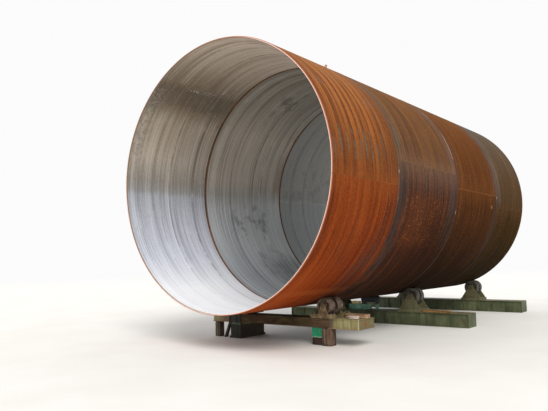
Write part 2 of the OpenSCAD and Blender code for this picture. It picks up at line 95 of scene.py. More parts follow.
class Paint:
    """A node material that is built up layer by layer. Its colours are written as they look, 0 to 255."""

    def __init__(self, name, seed=0.0, colour=None):
        self.material = bpy.data.materials.new(name)
        self.material.use_nodes = True
        self.tree = self.material.node_tree
        self.shader = self.tree.nodes["Principled BSDF"]
        self.seed = seed
        self.place = self.node("TexCoord").outputs["Object"]
        self.x, self.y, self.z = self.split(self.place)
        self.colour = colour

    def node(self, kind, inputs=None, **settings):
        """A new node with its settings, and with its inputs fed by name or number."""
        made = self.tree.nodes.new("ShaderNode" + kind)
        for key, value in settings.items():
            setattr(made, key, value)
        self.feed(made, inputs or {})
        return made

    def feed(self, node, inputs):
        """Link inputs to sockets, or set them: a number, a colour in a tuple or a vector in a list."""
        for key, value in inputs.items():
            if isinstance(value, bpy.types.NodeSocket):
                self.tree.links.new(value, node.inputs[key])
            else:
                node.inputs[key].default_value = srgb(*value) if isinstance(value, tuple) else value

    def split(self, vector):
        return self.node("SeparateXYZ", {0: vector}).outputs[:3]

    def facing(self):
        """How far the surface faces along x, y and z."""
        return self.split(self.node("NewGeometry").outputs["Normal"])

    def math(self, operation, first, second=0.0):
        return self.node("Math", {0: first, 1: second}, operation=operation).outputs[0]

    def times(self, first, second):
        return self.math("MULTIPLY", first, second)

    def plus(self, first, second):
        return self.math("ADD", first, second)

    def minus(self, first, second):
        return self.math("SUBTRACT", first, second)

    def size(self, value):
        return self.math("ABSOLUTE", value)

    def away(self, value, place):
        """How far value is from place."""
        return self.size(self.minus(value, place))

    def distance(self, first, second):
        """The length of two steps at a right angle."""
        return self.math("SQRT", self.plus(self.times(first, first), self.times(second, second)))

    def blend(self, *parts):
        """The sum of values, each with its share."""
        total = self.times(*parts[0])
        for value, share in parts[1:]:
            total = self.plus(total, self.times(value, share))
        return total

    def less(self, mask, share):
        """1 where mask is 0, and less by share where mask is 1."""
        return self.plus(self.times(mask, -share), 1.0)

    def sway(self, value, noise_value, amount):
        """A value moved by noise of 0 to 1, up or down by about a third of amount."""
        return self.plus(value, self.times(self.minus(noise_value, 0.5), amount))

    def both(self, *masks):
        joined = masks[0]
        for mask in masks[1:]:
            joined = self.times(joined, mask)
        return joined

    def step(self, value, low, high):
        """0 below low, 1 above high, smooth between; low may be the greater."""
        span = {"Value": value, "From Min": min(low, high), "From Max": max(low, high),
                "To Min": float(low > high), "To Max": float(low < high)}
        return self.node("MapRange", span, interpolation_type="SMOOTHSTEP").outputs["Result"]

    def band(self, value, centre, half, soft):
        """1 within half of centre, 0 beyond half plus soft."""
        return self.step(self.away(value, centre), half + soft, half)

    def between(self, value, low, high, fade):
        """1 from low to high, 0 beyond them by fade."""
        return self.both(self.step(value, low - fade, low), self.step(value, high + fade, high))

    def stretch(self, scale, shift=0.0):
        """The place on the object, scaled and moved to a part of the noise of its own."""
        start = self.seed * 7.3 + shift
        moved = {"Vector": self.place, "Scale": list(scale), "Location": [start, start * 1.7, -start]}
        return self.node("Mapping", moved).outputs["Vector"]

    def noise(self, stretch, scale=1.0, detail=4.0, roughness=0.55, distortion=0.0, shift=0.0):
        made = {"Vector": self.stretch(stretch, shift), "Scale": scale, "Detail": detail,
                "Roughness": roughness, "Distortion": distortion}
        return self.node("TexNoise", made).outputs["Fac"]

    def cloud(self, scale, detail=4.0, roughness=0.55, shift=0.0):
        """Noise that changes about scale times in a metre, the same in each direction."""
        return self.noise((1, 1, 1), scale, detail, roughness, shift=shift)

    def runs(self, across, down, detail=5.0, shift=0.0):
        """Noise drawn out downwards, as dirt runs: how often it changes in a metre each way."""
        return self.noise((across, across, down), detail=detail, shift=shift)

    def mix(self, amount, first, second):
        mixed = {"Factor": amount, "A": first, "B": second}
        return self.node("Mix", mixed, data_type="RGBA").outputs["Result"]

    def where(self, name, *numbers):
        """A mask from one of this paint's own values: two numbers make a step of it, and three a band."""
        shape = self.step if len(numbers) == 2 else self.band
        return shape(getattr(self, name), *numbers)

    def cover(self, colour, amount, *masks, **places):
        """Lay a colour over the others, as strong as amount where all the masks and places are 1."""
        found = [self.where(name, *numbers) for name, numbers in places.items()]
        self.colour = self.mix(self.both(*masks, *found, amount), self.colour, colour)

    def patches(self, colour, amount, scale, low, high, detail=5.0, roughness=0.55, shift=0.0, **places):
        """Lay a colour over the others in patches, where a cloud passes from low to high."""
        mask = self.step(self.cloud(scale, detail, roughness, shift), low, high)
        self.cover(colour, amount, mask, **places)

    def ramp(self, value, span, *stops):
        """Colours by value. A stop is its place, in the value's own unit from 0 to span, and its colour."""
        made = self.node("ValToRGB", {"Fac": self.math("DIVIDE", value, span)})
        elements = made.color_ramp.elements
        while len(elements) < len(stops):
            elements.new(0.5)
        for element, (place, *colour) in zip(elements, stops):
            element.position = place / span
            element.color = srgb(*colour)
        return made.outputs["Color"]

    def bump(self, height, distance, strength, before=None):
        """Relief as high as distance, on top of the relief before it."""
        under = {} if before is None else {"Normal": before}
        relief = {"Height": height, "Distance": distance, "Strength": strength}
        return self.node("Bump", {**relief, **under}).outputs["Normal"]

    def finish(self, roughness, normal=None, metallic=0.0, gloss=0.5):
        relief = {} if normal is None else {"Normal": normal}
        self.feed(self.shader, {"Base Color": self.colour, "Roughness": roughness, "Metallic": metallic,
                                "Specular IOR Level": gloss, **relief})
        return self.material


class ShellPaint(Paint):
    """A paint that knows its place on the shell: the angle round it and the distance from the near rim."""

    def __init__(self, name, seed):
        super().__init__(name, seed)
        self.rise = self.minus(self.z, AXIS_Z)
        self.along = self.minus(self.y, RIM)
        self.from_top = self.turn_from(self.rise)
        self.radius = self.distance(self.x, self.rise)
        self.facing_end = self.size(self.facing()[1])

    def turn_from(self, upright):
        return self.times(self.math("ARCTAN2", self.x, upright), 180 / math.pi)

    def streaks(self, around, along, detail=6.0, roughness=0.6, shift=0.0):
        """Noise drawn out round the shell: around and along are how often it changes in a metre."""
        return self.noise((around, along, around), 1.0, detail, roughness, shift=shift)

    def speckles(self, scale):
        """Small round dots."""
        cells = self.node("TexVoronoi", {"Vector": self.stretch((1, 1, 1)), "Scale": scale})
        return self.step(cells.outputs["Distance"], 0.34, 0.22)

    def mottle(self, tone, where, dark, dark_amount, light, light_amount):
        """Fine uneven darker and lighter spots."""
        self.cover(dark, dark_amount, self.step(tone, 0.50, 0.40), where)
        self.cover(light, light_amount, self.step(tone, 0.51, 0.61), where)

    def uneven(self, around, along, scale):
        """Even shares of streaks and cloud, for mottle."""
        return self.blend((self.streaks(around, along, shift=61.0), 0.5),
                          (self.cloud(scale, detail=6.0, roughness=0.7, shift=63.0), 0.5))


class PlatePaint(ShellPaint):
    """Rusted plate of one course, above or below its long seams. Its ground colours go by degrees from
    the nearest long seam, and each of its layers is a colour, an amount and what says where it lies."""

    def __init__(self, course, half, *ground):
        upper = half == "upper"
        super().__init__("rust_%d_%s" % (course, half), course + (0 if upper else 5))
        seam = seam_angle(course)
        middle = seam - 90 if upper else 90 - seam
        turn = self.from_top if upper else self.turn_from(self.times(self.rise, -1.0))
        self.off_seam = self.minus(90.0, self.away(turn, middle))
        self.start = self.minus(self.along, STARTS[course])
        self.fine = self.streaks(0.25, 13.0, shift=3.0)
        self.hair = self.streaks(0.8, 46.0, detail=3.0, shift=9.0)
        self.grain = self.cloud(22.0, detail=6.0, roughness=0.7)
        self.colour = self.ramp(self.sway(self.off_seam, self.cloud(1.3, shift=6.0), 14.0), 90, *ground)

    def threads(self, dark, dark_amount, light, light_amount):
        """Fine streaks that run round the shell."""
        broad = self.streaks(0.12, 2.4, detail=3.0)
        tone = self.blend((broad, 0.18), (self.fine, 0.48), (self.hair, 0.22), (self.grain, 0.12))
        self.cover(dark, dark_amount, self.step(tone, 0.50, 0.44))
        self.cover(light, light_amount, self.step(tone, 0.51, 0.57))

    def lines(self, colour, amount, often):
        """A few long thin lines round the shell, about as many in a metre as often says."""
        mask = self.step(self.streaks(0.05, often, detail=1.0, roughness=0.4, shift=33.0), 0.62, 0.67)
        self.cover(colour, amount, mask, self.step(self.hair, 0.30, 0.50))

    def rim_strip(self, colour, amount):
        """The narrow strip behind the near rim."""
        self.cover(colour, amount, along=(0.20, 0.08))

    def heated(self, colour, amount, reach=6.0):
        """The strip beside a long seam, changed by the heat of welding."""
        turn = self.sway(self.off_seam, self.streaks(0.4, 5.0, shift=37.0), 10.0)
        self.cover(colour, amount, self.step(turn, reach, 1.0))

    def beside_seam(self, colour, amount, place, half, soft, low, high, fade):
        """Brushed or heated steel in a band across the plate. Its place, half width and soft edge are in
        metres from the start of the course, and low, high and fade in degrees from the long seam."""
        edge = self.sway(self.start, self.cloud(4.5, detail=6.0, roughness=0.65, shift=21.0), 0.42)
        broken = self.step(self.streaks(1.1, 7.0, detail=8.0, shift=17.0), 0.38, 0.58)
        turn = self.sway(self.off_seam, self.cloud(2.5, shift=27.0), 16.0)
        self.cover(colour, amount, self.band(edge, place, half, soft), self.between(turn, low, high, fade),
                   self.plus(self.times(broken, 0.72), 0.28))

    def shade(self, colour, amount, near, far, turn):
        """Painted shade, partly also darker plate: darker towards the far end of a course, where less light
        reaches, and more so further from the long seam.
        """
        self.cover(colour, amount, start=(near, far), off_seam=(turn, turn + 24))

    def ends(self):
        """The bare bevel at an open end, and the strip of bare plate inside."""
        bare = self.mix(self.step(self.along, 0.2, 0.1), (112, 88, 66), (150, 130, 112))
        self.cover(bare, 0.9, radius=(SHELL_R - 0.016, SHELL_R - 0.020), facing_end=(0.6, 0.4))
        self.cover((166, 106, 76), 1.0, facing_end=(0.4, 0.6))
        rusty = self.both(self.step(self.from_top, 30, 10), self.step(self.from_top, -100, -85), 0.9)
        land = self.mix(rusty, (236, 200, 188), (150, 104, 74))
        self.cover(land, 1.0, facing_end=(0.9, 0.97))

    def finish_plate(self):
        calm_at_side = self.less(self.step(self.off_seam, 20, 60), 0.55)
        self.mottle(self.uneven(0.6, 18.0, 24.0), calm_at_side, (42, 26, 17), 0.34, (172, 114, 72), 0.17)
        self.ends()
        roughness = self.plus(0.74, self.times(self.grain, 0.22))
        pits = self.bump(self.cloud(80.0, detail=5.0, shift=2.0), 0.002, 0.5)
        relief = self.plus(self.fine, self.times(self.hair, 0.4))
        return self.finish(roughness, self.bump(relief, 0.004, 0.45, pits), gloss=0.02)


def add_drips(paint):
    """Dark drips at nearly even spacing, which end in grey tips of bare metal a little above the seam."""
    spacing = 0.245
    turns = paint.sway(paint.math("DIVIDE", paint.along, spacing), paint.streaks(0.5, 3.0, shift=12.0), 1.5)
    ragged = paint.sway(paint.math("SINE", paint.times(turns, 2 * math.pi)), paint.fine, 2.4)
    low_end = paint.sway(paint.off_seam, paint.streaks(0.3, 3.2, shift=31.0), 16.0)
    strength = paint.step(paint.streaks(0.4, 2.6, shift=25.0), 0.30, 0.62)
    paint.cover((96, 54, 34), paint.plus(paint.times(strength, 0.45), 0.35), paint.step(ragged, 0.35, 0.75),
                paint.step(low_end, 7, 11), off_seam=(58, 38))
    blot = paint.step(paint.streaks(2.6, 6.0, detail=5.0, shift=41.0), 0.44, 0.56)
    paint.cover((104, 98, 82), 0.9, paint.step(ragged, 0.0, 0.8), paint.band(low_end, 13, 3, 5), blot,
                strength, along=(1.15, 0.85, 0.3))


def course_1_upper():
    paint = PlatePaint(1, "upper", (0, 122, 64, 28), (9, 128, 73, 33), (22, 144, 86, 42), (40, 156, 98, 54),
                       (56, 152, 104, 66), (90, 150, 106, 72))
    paint.threads((96, 56, 36), 0.6, (162, 94, 42), 0.55)
    paint.lines((84, 50, 36), 0.6, 9.0)
    add_drips(paint)
    paint.cover((122, 70, 36), 0.6, along=(2.1, 2.4), off_seam=(50, 30))
    paint.rim_strip((98, 54, 36), 0.6)
    paint.patches((128, 100, 84), 0.35, 0.9, 0.54, 0.68, shift=14.0)
    paint.cover((92, 50, 28), 0.24, off_seam=(24, 8))
    paint.cover((84, 56, 38), 0.3, along=(1.4, 2.4))
    paint.heated((130, 70, 32), 0.5)
    return paint.finish_plate()


def course_1_lower():
    paint = PlatePaint(1, "lower", (0, 118, 56, 22), (30, 120, 48, 17), (50, 134, 53, 18), (62, 150, 64, 25),
                       (90, 130, 58, 30))
    paint.threads((92, 40, 22), 0.7, (156, 74, 27), 0.55)
    paint.lines((76, 34, 22), 0.75, 7.0)
    paint.cover((150, 70, 26), 0.3, along=(0.8, 0.35, 0.4), off_seam=(70, 40))
    paint.cover((84, 42, 30), 0.35, along=(2.05, 0.15, 0.25), off_seam=(8, 26))
    paint.cover((88, 46, 29), 0.5, along=(2.05, 2.4))
    paint.beside_seam((84, 58, 46), 0.6, 2.05, 0.20, 0.20, 34, 62, 10)
    paint.cover((160, 84, 38), 0.4, off_seam=(53.5, 1.0, 2.2))
    paint.rim_strip((92, 42, 28), 0.45)
    paint.patches((96, 46, 28), 0.35, 1.1, 0.56, 0.70, shift=14.0)
    # Painted light: lighter near the rim on the underside, where light from the floor outside falls
    paint.cover((164, 80, 36), 0.4, along=(0.9, 0.3), off_seam=(30, 46))
    # Painted shade towards the far end of the course, partly darker plate
    paint.shade((58, 30, 18), 0.55, 0.8, 2.4, 34)
    paint.heated((132, 68, 30), 0.5, 10.0)
    return paint.finish_plate()


# Courses 2 to 4 have darker ground colours than the first, partly as painted shade: less light reaches
# further along the shell
def course_2_upper():
    paint = PlatePaint(2, "upper", (0, 94, 66, 46), (8, 98, 66, 42), (30, 108, 72, 42), (50, 124, 84, 52),
                       (90, 130, 94, 64))
    paint.threads((76, 54, 40), 0.55, (138, 88, 46), 0.45)
    paint.lines((66, 50, 42), 0.4, 8.0)
    paint.beside_seam((96, 88, 76), 0.65, 0.16, 0.08, 0.22, 0, 44, 14)
    paint.beside_seam((100, 84, 80), 0.5, 3.04, 0.08, 0.26, 4, 40, 10)
    paint.patches((96, 66, 52), 0.5, 2.2, 0.56, 0.66, shift=11.0)
    paint.heated((112, 82, 62), 0.5, 8.0)
    return paint.finish_plate()


# Its ground darkens towards the bottom, partly as painted shade under the shell
def course_2_lower():
    paint = PlatePaint(2, "lower", (0, 92, 68, 54), (6, 78, 55, 45), (15, 66, 41, 30), (40, 62, 34, 19),
                       (58, 50, 28, 16), (74, 40, 25, 16), (90, 35, 24, 16))
    paint.threads((50, 38, 36), 0.7, (98, 52, 28), 0.5)
    paint.lines((44, 36, 36), 0.6, 8.0)
    paint.beside_seam((70, 60, 56), 0.7, 0.16, 0.08, 0.24, 0, 52, 16)
    paint.beside_seam((70, 60, 58), 0.7, 3.0, 0.10, 0.36, 0, 30, 12)
    rusty = paint.step(paint.streaks(2.0, 4.5, detail=6.0, shift=43.0), 0.47, 0.58)
    paint.cover((98, 50, 24), 0.6, rusty, start=(0.7, 0.3), off_seam=(14, 32))
    zone = paint.both(paint.band(paint.start, 1.45, 0.7, 0.5), paint.band(paint.off_seam, 26, 8, 8))
    broken = paint.step(paint.cloud(3.0, detail=3.0, shift=19.0), 0.40, 0.60)
    paint.cover((108, 56, 28), 0.30, zone)
    paint.cover((146, 86, 46), 0.7, paint.speckles(15.0), zone, broken)
    # Painted shade towards the far end of the course, partly darker plate
    paint.shade((28, 18, 11), 0.55, 0.6, 2.4, 6)
    paint.heated((104, 78, 62), 0.5, 12.0)
    return paint.finish_plate()


def course_3_upper():
    paint = PlatePaint(3, "upper", (0, 84, 47, 20), (12, 86, 48, 20), (32, 98, 57, 25), (60, 118, 76, 42),
                       (90, 124, 86, 54))
    paint.threads((78, 48, 27), 0.45, (122, 72, 31), 0.35)
    paint.beside_seam((92, 72, 58), 0.5, 0.12, 0.07, 0.14, 4, 40, 8)
    paint.beside_seam((88, 76, 72), 0.6, 2.92, 0.08, 0.18, 0, 44, 10)
    paint.patches((82, 60, 32), 0.4, 1.6, 0.54, 0.70, shift=11.0)
    paint.lines((66, 42, 26), 0.35, 7.0)
    paint.heated((90, 52, 23), 0.5, 9.0)
    return paint.finish_plate()


# Its ground darkens towards the bottom, partly as painted shade under the shell
def course_3_lower():
    paint = PlatePaint(3, "lower", (0, 84, 47, 19), (10, 70, 39, 15), (34, 48, 27, 12), (52, 33, 21, 11),
                       (90, 25, 18, 11))
    paint.threads((40, 26, 15), 0.5, (78, 44, 19), 0.35)
    paint.heated((88, 51, 22), 0.5, 9.0)
    paint.cover((122, 74, 36), 0.4, off_seam=(0.25, 0.10, 0.45))
    paint.beside_seam((70, 54, 44), 0.55, 2.92, 0.10, 0.14, 0, 34, 10)
    paint.cover((158, 116, 78), 0.5, start=(2.62, 0.03, 0.05), off_seam=(7, 0.5, 0.8))
    return paint.finish_plate()


def course_4_upper():
    paint = PlatePaint(4, "upper", (0, 66, 46, 25), (16, 76, 56, 34), (32, 86, 69, 51), (60, 98, 86, 73),
                       (90, 102, 92, 80))
    paint.threads((66, 54, 41), 0.5, (112, 90, 68), 0.4)
    paint.beside_seam((96, 88, 82), 0.55, 0.20, 0.10, 0.22, 4, 46, 12)
    paint.cover((66, 46, 32), 0.5, start=(0.16, 0.02, 0.03))
    paint.heated((72, 50, 28), 0.7)
    return paint.finish_plate()


# Its ground darkens towards the bottom, partly as painted shade under the shell
def course_4_lower():
    paint = PlatePaint(4, "lower", (0, 68, 46, 20), (14, 53, 36, 11), (36, 37, 25, 6), (60, 28, 20, 6),
                       (90, 25, 19, 8))
    paint.threads((36, 27, 12), 0.5, (68, 46, 17), 0.35)
    paint.beside_seam((56, 45, 34), 0.5, 0.16, 0.10, 0.14, 0, 40, 12)
    paint.heated((70, 49, 27), 0.7)
    return paint.finish_plate()


class LiningPaint(ShellPaint):
    """Stainless lining, coloured by the angle from the top, the same on both sides."""

    def __init__(self, course, *ground):
        super().__init__("lining_%d" % course, course + 10)
        self.start = self.minus(self.along, STARTS[course])
        self.down = self.size(self.from_top)
        self.lines = self.streaks(0.12, 26.0, detail=5.0, roughness=0.7, shift=4.0)
        self.bottom = self.step(self.down, 112, 152)
        turn = self.sway(self.sway(self.down, self.streaks(0.6, 1.5, shift=7.0), 5.0), self.lines, 8.0)
        self.colour = self.ramp(turn, 180, *ground)

    def brush(self, dark, cool_dark, dark_amount, light, cool_light, light_amount, calm=0.0):
        """Streaks left by rolling and cleaning, greyer below the side and calmer at the bottom."""
        lower = self.step(self.down, 84, 96)
        dark, light = self.mix(lower, dark, cool_dark), self.mix(lower, light, cool_light)
        fade = self.less(self.bottom, calm)
        wide = self.streaks(0.08, 4.5, detail=4.0)
        hair = self.streaks(0.45, 60.0, detail=4.0, roughness=0.6, shift=29.0)
        tone = self.blend((wide, 0.34), (self.lines, 0.40), (hair, 0.26))
        self.cover(dark, dark_amount, self.step(tone, 0.50, 0.43), fade)
        clean = self.less(self.band(self.down, 42, 7, 3), 0.75)
        self.cover(light, light_amount, self.step(tone, 0.51, 0.58), clean)
        broken = self.step(self.cloud(2.4, detail=6.0, shift=35.0), 0.36, 0.52)
        for often, amount, shift in ((9.0, 0.8, 15.0), (21.0, 0.45, 55.0)):
            thin = self.step(self.streaks(0.05, often, detail=2.0, roughness=0.5, shift=shift), 0.615, 0.65)
            self.cover(dark, amount, thin, broken, fade)

    def smudges(self, colour, amount, low, high, shift=8.0, **places):
        self.patches(colour, amount, 3.2, low, high, 6.0, 0.65, shift, **places)

    def finish_lining(self):
        calm = self.less(self.bottom, 0.8)
        self.mottle(self.uneven(0.9, 32.0, 30.0), calm, (98, 92, 84), 0.26, (228, 224, 220), 0.20)
        roughness = self.plus(0.42, self.times(self.lines, 0.25))
        grain = self.bump(self.cloud(40.0, shift=1.0), 0.001, 0.35)
        return self.finish(roughness, self.bump(self.lines, 0.0015, 0.5, grain), metallic=0.04)


def lining_1():
    # The ground turns near white towards the bottom: painted light that falls in through the open end
    paint = LiningPaint(1, (0, 208, 189, 168), (14, 192, 172, 150), (27, 150, 131, 107), (35, 124, 106, 82),
                        (36, 104, 88, 66), (44, 112, 96, 73), (48, 144, 127, 104), (55, 184, 168, 146),
                        (74, 186, 173, 157), (86, 142, 138, 131), (90.5, 144, 142, 140),
                        (92.5, 164, 167, 175), (125, 204, 208, 222), (146, 244, 245, 249),
                        (180, 250, 250, 252))
    paint.cover((232, 210, 194), 0.6, from_top=(24, 8, 18))
    # Greyer further into the bore below the side: painted shade, where less of that light reaches
    paint.cover((172, 176, 186), 0.4, start=(1.1, 2.5), down=(100, 118))
    paint.brush((124, 110, 92), (126, 128, 136), 0.6, (216, 208, 196), (236, 238, 245), 0.45, 0.75)
    paint.smudges((104, 88, 66), 0.55, 0.50, 0.66, down=(42, 8, 8))
    paint.smudges((120, 118, 118), 0.5, 0.60, 0.70, down=(106, 5, 10))
    # Spatter along the sharp edge of the dark band, then scratches and dirt behind the rim
    paint.cover((240, 236, 228), 1.0, paint.speckles(26.0), down=(35.5, 0.5, 1.2), start=(1.3, 0.25, 0.35))
    paint.patches((186, 182, 178), 0.4, 18.0, 0.54, 0.60, 6.0, shift=13.0, along=(0.55, 0.2),
                  down=(56, 12, 10))
    paint.patches((120, 116, 112), 0.55, 9.0, 0.46, 0.58, shift=3.0, along=(0.5, 0.15), down=(60, 10, 12))
    return paint.finish_lining()


def lining_2():
    paint = LiningPaint(2, (0, 146, 136, 116), (34, 168, 157, 140), (56, 202, 190, 172), (80, 202, 190, 175),
                        (88.5, 172, 168, 160), (96, 188, 190, 191), (112, 180, 185, 189),
                        (140, 150, 155, 161), (180, 158, 162, 167))
    paint.brush((108, 101, 89), (104, 108, 112), 0.62, (212, 207, 200), (210, 214, 218), 0.5)
    paint.cover((224, 229, 233), 0.6, start=(1.0, 2.8), down=(108, 14, 12))
    paint.smudges((84, 89, 93), 0.6, 0.48, 0.62, down=(104, 7, 8), start=(1.75, 0.5, 0.5), shift=47.0)
    paint.smudges((92, 96, 100), 0.40, 0.50, 0.60, down=(130, 6, 9), start=(2.1, 0.4, 0.5))
    # A brown stain before the next girth seam
    paint.cover((122, 94, 62), 0.65, paint.step(paint.streaks(0.8, 6.0, shift=51.0), 0.34, 0.58),
                start=(2.6, 3.1), down=(66, 14, 14))
    paint.smudges((92, 82, 74), 0.6, 0.50, 0.64, down=(26, 3, 6), start=(1.9, 0.35, 0.5))
    return paint.finish_lining()


def lining_deep(course):
    """The third and fourth course, which look alike in the dark of the bore."""
    paint = LiningPaint(course, (0, 158, 154, 144), (60, 164, 162, 156), (86, 160, 160, 156),
                        (88.4, 160, 162, 160), (89.2, 190, 192, 192), (90, 164, 168, 168),
                        (120, 168, 174, 176), (180, 172, 178, 182))
    paint.brush((134, 134, 130), (130, 134, 136), 0.4, (184, 184, 180), (186, 190, 192), 0.3)
    paint.smudges((112, 112, 106), 0.45, 0.52, 0.68, down=(76, 8, 12))
    return paint.finish_lining()


def girth_paint(name, ground, bare, low, high, mark):
    """A girth weld: ground coloured, with bright bare spots over a range of angles from the top,
    and one pale mark at an angle of its own."""
    paint = ShellPaint(name, 11)
    ripple = paint.cloud(14.0, detail=3.0)
    spots = paint.step(paint.streaks(1.4, 3.0, shift=5.0), 0.46, 0.58)
    paint.colour = ground
    paint.cover((88, 66, 50), 1.0, paint.step(ripple, 0.38, 0.62))
    paint.cover(bare, 0.8, spots, paint.between(paint.from_top, low, high, 12))
    paint.cover((46, 32, 23), 0.85, paint.step(paint.size(paint.from_top), high, high + 20))
    paint.cover((166, 150, 134), 0.6, from_top=(mark, 0.3, 0.8))
    tone = paint.blend((paint.streaks(1.6, 1.6, shift=9.0), 0.7), (ripple, 0.3))
    inner = paint.ramp(tone, 1, (0.40, 50, 33, 20), (0.60, 146, 88, 42))
    paint.cover(inner, 1.0, radius=(SHELL_R - 0.012, SHELL_R - 0.016))
    return paint.finish(0.7, paint.bump(ripple, 0.004, 0.7), gloss=0.2)


def seam_paint(course, colour, bare):
    """The two longitudinal welds of a course, nearly as rusty as the plate."""
    paint = ShellPaint("seam_%d" % course, course + 20)
    paint.colour = colour
    paint.patches(bare, 1.0, 5.0, 0.42, 0.62)
    return paint.finish(0.8, paint.bump(paint.cloud(40.0), 0.002, 0.6), gloss=0.1)


def timber_paint(name, pale, dark, grain_along, seed=0.0, darkening=0.5, stains_and_shade=()):
    """Sawn timber with its grain along one axis; each of the stains and the patches of painted shade is a
    place along the grain, its half length, its soft edge, its strength and its colour."""
    paint = Paint(name, seed)
    across, length = 13.0, 0.9
    scale = [length if axis == grain_along else across for axis in "XYZ"]
    grain = paint.noise(scale, 1.5, 8.0, 0.65, 0.6)
    paint.colour = paint.ramp(grain, 1, (0.36, *dark), (0.60, *pale))
    for centre, half, soft, amount, colour in stains_and_shade:
        zone = {grain_along.lower(): (centre, half, soft)}
        paint.patches(colour, amount, 6.0, 0.34, 0.54, shift=13.0, **zone)
    checks = paint.noise([value * 2.2 for value in scale], 1.0, 3.0, shift=5.0)
    paint.cover((34, 27, 20), 0.8, paint.step(checks, 0.40, 0.33))
    paint.patches((56, 47, 38), darkening, 4.0, 0.48, 0.66, 6.0, shift=9.0)
    return paint.finish(0.85, paint.bump(grain, 0.004, 0.7), gloss=0.15)


def worn_paint(name, colour, worn, rust_amount, seed=0.0):
    """Painted steel with runs of dirt, and rust where the paint has gone."""
    paint = Paint(name, seed, colour)
    paint.cover(worn, 1.0, paint.step(paint.runs(16, 1.6), 0.42, 0.66))
    add_rust(paint, rust_amount)
    return finish_steel(paint)


def add_rust(paint, amount):
    blotch = paint.blend((paint.cloud(5.0, 7.0, 0.65, 2.0), 0.7), (paint.cloud(60.0), 0.3))
    paint.cover((88, 54, 36), 1.0, paint.step(blotch, 0.62 - amount, 0.70 - amount))


def finish_steel(paint):
    relief = paint.bump(paint.cloud(30.0, 6.0, shift=4.0), 0.003, 0.5)
    return paint.finish(0.62, relief, metallic=0.05, gloss=0.25)


def wheel_paint(name, dark, middle, pale):
    """Worn steel with dust on it."""
    paint = Paint(name)
    tone = paint.blend((paint.cloud(9.0, 6.0, 0.65), 0.7), (paint.cloud(110.0, 3.0), 0.3))
    paint.colour = paint.ramp(tone, 1, (0.38, *dark), (0.5, *middle), (0.64, *pale))
    return paint.finish(0.62, paint.bump(tone, 0.003, 0.6), metallic=0.3)


def bolt_paint():
    paint = Paint("bolt_steel")
    paint.colour = paint.ramp(paint.cloud(30.0), 1, (0.35, 70, 56, 44), (0.65, 142, 124, 104))
    return paint.finish(0.5, metallic=0.4)


def bearing_paint():
    """Olive brown paint, reddish dirt and pale scuffs."""
    paint = Paint("bearing_paint", 2.0, (84, 74, 54))
    paint.patches((126, 112, 80), 1.0, 6.0, 0.40, 0.62, 6.0, 0.65)
    paint.patches((104, 66, 50), 0.5, 4.0, 0.52, 0.64, shift=5.0)
    paint.patches((158, 146, 108), 0.6, 22.0, 0.56, 0.66, shift=7.0)
    return finish_steel(paint)


def packing_box_paint(node, darkening, reach):
    """Yellow-green paint with olive runs; darker at its inner end, with dirt and painted shadow of the shell
    there, with a worn corner and a rust stain.
    """
    low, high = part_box(node)
    outer, inner = (high.x, low.x) if high.x > 0 else (low.x, high.x)
    stain_y, stain_z = low.y + (high.y - low.y) * 0.42, (low.z + high.z) / 2
    paint = Paint(node + "_paint", 5.0)
    paint.colour = paint.ramp(paint.runs(22, 1.4), 1, (0.32, 118, 110, 70), (0.50, 140, 133, 92),
                              (0.66, 154, 149, 106))
    # Dirt and painted shadow of the shell over the inner end, as far as reach
    from_inner_end = paint.sway(paint.away(paint.x, inner), paint.cloud(7.0, 5.0), 0.25)
    paint.cover(darkening, 0.85, paint.step(from_inner_end, reach + 0.08, reach - 0.08))
    upward, from_outer = paint.minus(paint.z, low.z), paint.away(paint.x, outer)
    paint.cover((112, 84, 54), 0.55, paint.step(upward, 0.10, 0.02),
                paint.step(paint.runs(34, 2.0, 4.0, 6.0), 0.46, 0.60))
    end_face = paint.step(from_outer, 0.016, 0.013)
    paint.cover((90, 76, 46), 0.7, end_face)
    from_stain = paint.distance(paint.minus(paint.y, stain_y), paint.minus(paint.z, stain_z))
    stain = paint.step(paint.sway(from_stain, paint.cloud(20.0), 0.08), 0.085, 0.03)
    paint.cover((120, 74, 34), 0.9, stain, end_face)
    paint.cover((190, 190, 146), 0.8, paint.step(from_outer, 0.036, 0.020),
                paint.step(paint.minus(paint.y, low.y), 0.020, 0.014))
    paint.cover((142, 116, 96), 0.7, paint.step(upward, 0.016, 0.010))
    add_rust(paint, -0.02)
    return finish_steel(paint)


def green_block_paint():
    """Bright green paint, worn pale along the lower edges."""
    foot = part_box("near_right_block")[0].z
    paint = Paint("bright_green_block", 7.0, (26, 122, 86))
    paint.patches((44, 142, 102), 1.0, 12.0, 0.42, 0.62)
    upward = paint.sway(paint.minus(paint.z, foot), paint.cloud(16.0, 4.0), 0.03)
    paint.cover((150, 172, 142), 0.7, paint.step(upward, 0.026, 0.014))
    paint.patches((56, 62, 48), 0.6, 9.0, 0.60, 0.70, 6.0, shift=3.0)
    return finish_steel(paint)


def stack_paint():
    """Near-black green blocks, brown towards the beam, with a pale scuffed band under the joint."""
    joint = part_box("near_left_box")[0].z
    paint = Paint("dark_green_stack", 9.0)
    paint.colour = paint.ramp(paint.runs(14, 1.4), 1, (0.36, 26, 28, 22), (0.60, 46, 50, 38))
    brown = paint.step(paint.cloud(3.5, detail=5.0, shift=11.0), 0.36, 0.56)
    paint.cover((62, 48, 36), paint.plus(paint.times(brown, 0.6), 0.3),
                paint.step(paint.facing()[0], 0.4, 0.8))
    paint.patches((112, 122, 98), 0.8, 9.0, 0.40, 0.55, 4.0, z=(joint - 0.03, 0.016, 0.012))
    add_rust(paint, 0.0)
    return finish_steel(paint)


